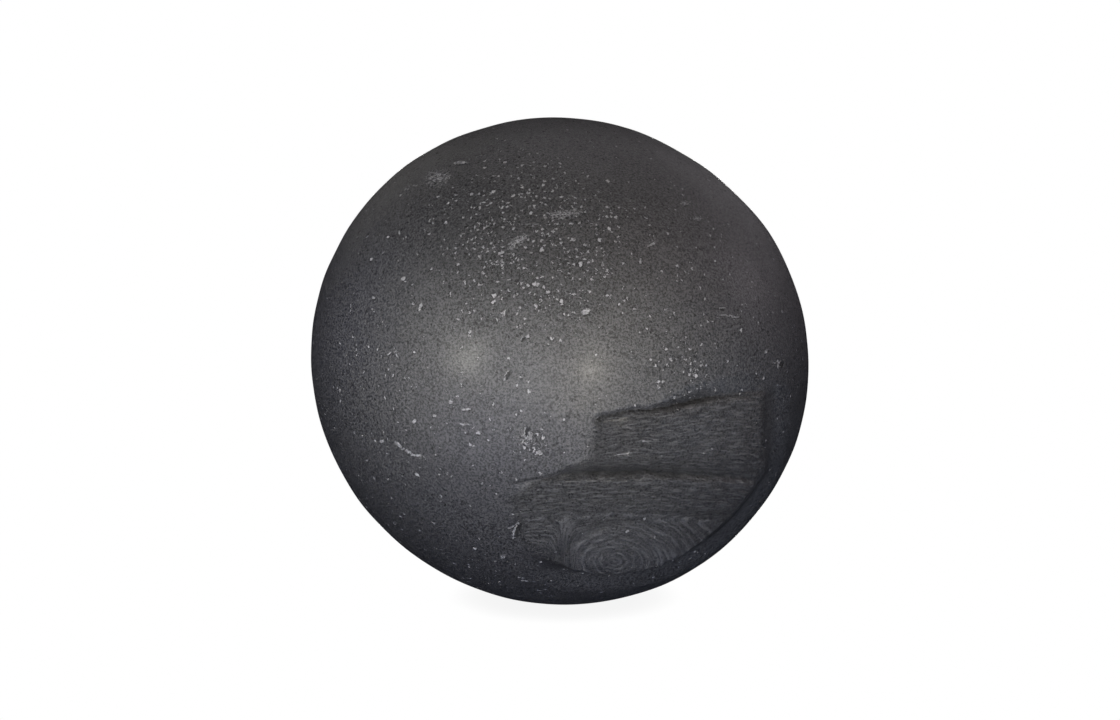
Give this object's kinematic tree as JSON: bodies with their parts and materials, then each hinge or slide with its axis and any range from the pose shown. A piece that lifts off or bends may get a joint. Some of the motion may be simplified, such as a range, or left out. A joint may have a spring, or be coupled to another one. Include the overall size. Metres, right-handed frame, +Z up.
{
  "type": "medicine ball",
  "caption": "Dead-weight exercise ball with a thick moulded rubber cover, a creased worn hollow and a loose sand load that shifts inside as it rolls.",
  "frame": {"origin": "middle of the flattened base, on the surface that the ball rests on", "axes": "+Z up, +Y towards the filler port at the back, -Y the front that is seen, +X to the right of the front"},
  "size_m": [0.23, 0.2296, 0.2258],
  "materials": {
    "cover_rubber": "satin",
    "tape_cloth": "matte",
    "nylon_thread": "satin",
    "bladder_butyl": "satin",
    "bung_rubber": "satin",
    "valve_rubber": "satin",
    "iron_sand": "matte"
  },
  "bodies": {
    "ball": {"cover_front": "cover_rubber", "cover_rear": "cover_rubber", "seam_strip": "tape_cloth", "port_patch": "tape_cloth", "thread_winding": "nylon_thread", "bladder": "bladder_butyl", "filler_neck": "bladder_butyl", "filler_bung": "bung_rubber", "valve_insert": "valve_rubber"},
    "fill": {"sand_fill": "iron_sand"}
  },
  "joints": [
    {"name": "sand_shift", "type": "hinge", "parent": "ball", "child": "fill", "pos_m": [0, 0, 0.1125], "axis": [0, 1, 0], "continuous": true}
  ]
}
